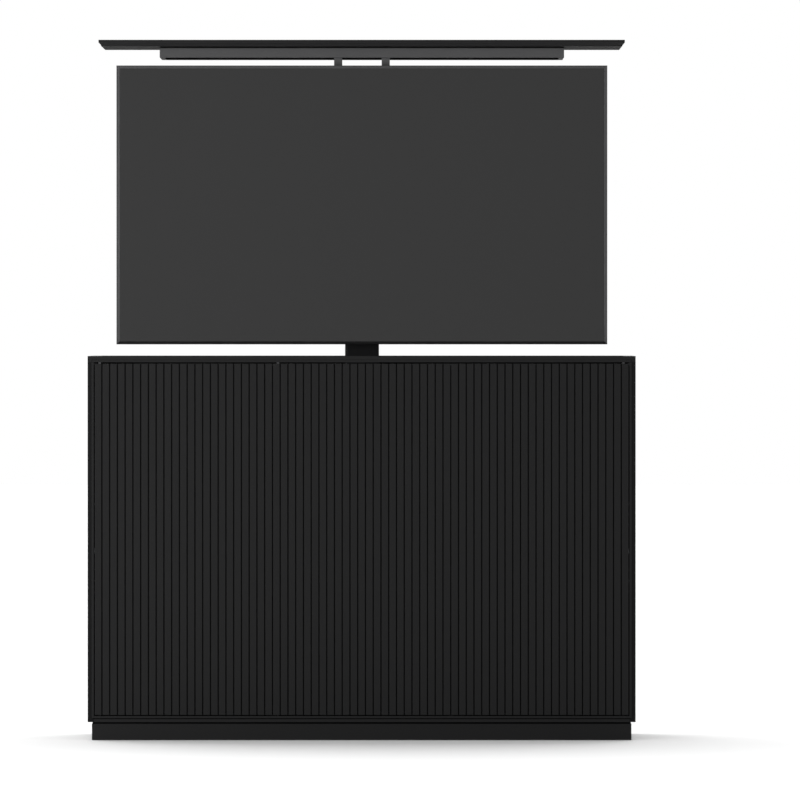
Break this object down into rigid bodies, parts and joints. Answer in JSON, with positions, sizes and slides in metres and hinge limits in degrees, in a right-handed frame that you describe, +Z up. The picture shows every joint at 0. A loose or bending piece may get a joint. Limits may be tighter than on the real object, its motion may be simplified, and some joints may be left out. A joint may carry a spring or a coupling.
{
  "type": "tv lift cabinet",
  "caption": "Sideboard with reeded doors whose lid rises with a flat television on a telescopic spindle column.",
  "frame": {"origin": "middle of the cabinet's footprint, on the floor", "axes": "+X to the right seen from the front, -Y the way the doors and the screen face, +Z up"},
  "size_m": [1.6, 0.48, 2.046],
  "materials": {
    "carcass_lacquer": "satin black lacquer on board",
    "lid_lacquer": "satin black lacquer on board",
    "door_lacquer": "satin black lacquer on reeded board",
    "zinc_steel": "bright zinc",
    "spindle_steel": "rolled and greased",
    "dark_steel": "dark grey powder coat",
    "black_anodised": "black anodised",
    "nylon": "black moulded",
    "bronze": "turned",
    "cast_aluminium": "cast",
    "motor_case": "black paint",
    "box_plastic": "black moulded",
    "tv_frame_metal": "dark satin",
    "tv_glass": "glossy dark screen",
    "tv_case": "fine textured black"
  },
  "bodies": {
    "cabinet": {"left_side": "carcass_lacquer", "right_side": "carcass_lacquer", "bottom_board": "carcass_lacquer", "front_rail": "carcass_lacquer", "back_rail": "carcass_lacquer", "left_rail": "carcass_lacquer", "right_rail": "carcass_lacquer", "plinth_front": "carcass_lacquer", "plinth_back": "carcass_lacquer", "plinth_left": "carcass_lacquer", "plinth_right": "carcass_lacquer", "well_partition": "carcass_lacquer", "bay_top": "carcass_lacquer", "left_divider": "carcass_lacquer", "right_divider": "carcass_lacquer", "left_shelf": "carcass_lacquer", "centre_shelf": "carcass_lacquer", "right_shelf": "carcass_lacquer", "back_panel": "carcass_lacquer", "shelf_supports": "zinc_steel", "door_pivots": "zinc_steel", "base_bolts": "zinc_steel", "base_plate": "dark_steel", "outer_profile": "black_anodised", "outer_collar": "nylon", "latch_bodies": "nylon", "cable_outlet": "nylon", "supply_gland": "nylon", "gearbox": "cast_aluminium", "drive_motor": "motor_case", "control_box": "box_plastic"},
    "left_door_leaf": {"left_door": "door_lacquer"},
    "centre_door_leaf": {"centre_door": "door_lacquer"},
    "right_door_leaf": {"right_door": "door_lacquer"},
    "left_latch_pin": {"left_plunger": "zinc_steel"},
    "centre_latch_pin": {"centre_plunger": "zinc_steel"},
    "right_latch_pin": {"right_plunger": "zinc_steel"},
    "driven_spindle": {"lower_spindle": "spindle_steel"},
    "middle_stage": {"middle_profile": "black_anodised", "middle_foot": "cast_aluminium", "middle_nut": "bronze", "middle_glides": "nylon", "middle_collar": "nylon"},
    "hollow_spindle": {"upper_spindle": "spindle_steel"},
    "tv_carriage": {"inner_profile": "black_anodised", "inner_foot": "cast_aluminium", "inner_nut": "bronze", "inner_glides": "nylon", "lift_bracket": "dark_steel", "crossbars": "dark_steel", "tv_rails": "dark_steel", "tv_bolts": "zinc_steel", "lid_posts": "dark_steel", "lid_tray": "dark_steel", "lid": "lid_lacquer", "tv_bezel": "tv_frame_metal", "tv_screen": "tv_glass", "tv_pan": "tv_case", "tv_rear_cover": "tv_case"}
  },
  "joints": [
    {"name": "left_door_hinge", "type": "hinge", "parent": "cabinet", "child": "left_door_leaf", "pos_m": [-0.7645, -0.232, 0.58675], "axis": [0, 0, -1], "range_deg": [0, 100]},
    {"name": "centre_door_hinge", "type": "hinge", "parent": "cabinet", "child": "centre_door_leaf", "pos_m": [-0.244, -0.232, 0.58675], "axis": [0, 0, -1], "range_deg": [0, 100]},
    {"name": "right_door_hinge", "type": "hinge", "parent": "cabinet", "child": "right_door_leaf", "pos_m": [0.7645, -0.232, 0.58675], "axis": [0, 0, 1], "range_deg": [0, 100]},
    {"name": "left_latch_press", "type": "slide", "parent": "cabinet", "child": "left_latch_pin", "axis": [0, 1, 0], "range_m": [0, 0.004], "stiffness_N_per_m": 400, "springref_m": -0.004},
    {"name": "centre_latch_press", "type": "slide", "parent": "cabinet", "child": "centre_latch_pin", "axis": [0, 1, 0], "range_m": [0, 0.004], "stiffness_N_per_m": 400, "springref_m": -0.004},
    {"name": "right_latch_press", "type": "slide", "parent": "cabinet", "child": "right_latch_pin", "axis": [0, 1, 0], "range_m": [0, 0.004], "stiffness_N_per_m": 400, "springref_m": -0.004},
    {"name": "middle_lift", "type": "slide", "parent": "cabinet", "child": "middle_stage", "axis": [0, 0, 1], "range_m": [-0.462, 0]},
    {"name": "lower_spindle_turn", "type": "hinge", "parent": "cabinet", "child": "driven_spindle", "pos_m": [0, 0.07, 0.129], "axis": [0, 0, 1], "range_deg": [0, 11881]},
    {"name": "upper_spindle_turn", "type": "hinge", "parent": "middle_stage", "child": "hollow_spindle", "pos_m": [0, 0.07, 0.617], "axis": [0, 0, 1], "range_deg": [0, 11881]},
    {"name": "tv_lift", "type": "slide", "parent": "middle_stage", "child": "tv_carriage", "axis": [0, 0, 1], "range_m": [-0.462, 0]}
  ],
  "couplings": [
    {"joint": "middle_lift", "follows": "tv_lift", "ratio": 1},
    {"joint": "lower_spindle_turn", "follows": "tv_lift", "rad_per_m": -448.8},
    {"joint": "upper_spindle_turn", "follows": "tv_lift", "rad_per_m": -448.8}
  ]
}
